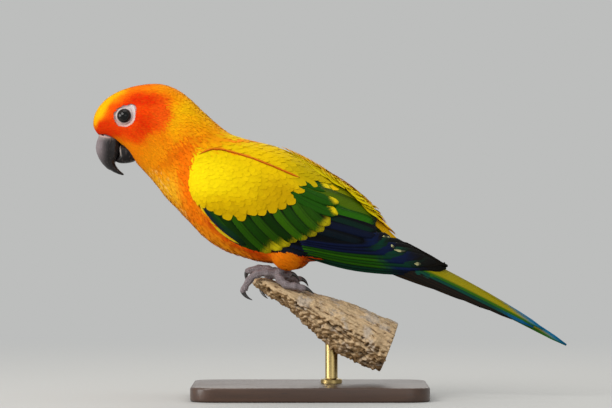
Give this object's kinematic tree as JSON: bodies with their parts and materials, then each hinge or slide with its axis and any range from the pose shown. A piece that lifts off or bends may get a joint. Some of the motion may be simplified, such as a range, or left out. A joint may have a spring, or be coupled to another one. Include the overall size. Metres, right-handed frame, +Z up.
{
  "type": "sun conure",
  "caption": "Life-size still model of a perched sun conure, wings folded and long tail trailing, gripping a short cut branch on a flat display stand.",
  "frame": {"origin": "middle of the flat underside of the display stand's base", "axes": "+Z up; the bird faces -X with its tail towards +X; its left side faces -Y"},
  "size_m": [0.2662, 0.096, 0.1762],
  "materials": {
    "plumage_head": "soft short feathers, red round the eye to yellow-orange",
    "plumage_body": "soft feathers, orange to orange-red",
    "plumage_back": "soft feathers, golden yellow",
    "plumage_wing_yellow": "smooth feathers, bright yellow",
    "plumage_wing_green": "smooth feathers, deep green with yellow tips",
    "plumage_wing_blue": "smooth feathers, blue-black with green outer edges",
    "plumage_tail": "smooth long feathers, golden olive to green with blue tips",
    "bill_horn": "satin black horn",
    "eye": "wet gloss, near black with a dark brown iris",
    "eye_ring": "bare wrinkled skin, pinkish white",
    "foot_skin": "scaly skin, pinkish grey",
    "claw_horn": "satin black horn",
    "perch_wood": "weathered dead wood",
    "stand_wood": "dark stained and waxed",
    "stand_metal": "brushed"
  },
  "bodies": {
    "root": {"head": "plumage_head", "neck": "plumage_body", "breast": "plumage_body", "belly": "plumage_body", "rump": "plumage_back", "thigh_left": "plumage_body", "thigh_right": "plumage_body", "wing_left_shoulder": "plumage_wing_yellow", "wing_right_shoulder": "plumage_wing_yellow", "wing_left_secondaries": "plumage_wing_green", "wing_right_secondaries": "plumage_wing_green", "wing_left_primaries": "plumage_wing_blue", "wing_right_primaries": "plumage_wing_blue", "tail_left": "plumage_tail", "tail_right": "plumage_tail", "bill_upper": "bill_horn", "bill_lower": "bill_horn", "eye_left": "eye", "eye_right": "eye", "leg_left": "foot_skin", "leg_right": "foot_skin", "foot_left": "foot_skin", "foot_right": "foot_skin", "toe_left_front_outer": "foot_skin", "toe_left_front_inner": "foot_skin", "toe_left_back_outer": "foot_skin", "toe_left_back_inner": "foot_skin", "toe_right_front_outer": "foot_skin", "toe_right_front_inner": "foot_skin", "toe_right_back_outer": "foot_skin", "toe_right_back_inner": "foot_skin", "claw_left_front_outer": "claw_horn", "claw_left_front_inner": "claw_horn", "claw_left_back_outer": "claw_horn", "claw_left_back_inner": "claw_horn", "claw_right_front_outer": "claw_horn", "claw_right_front_inner": "claw_horn", "claw_right_back_outer": "claw_horn", "claw_right_back_inner": "claw_horn", "perch": "perch_wood", "stand_rod": "stand_metal", "stand_base": "stand_wood"}
  },
  "joints": []
}
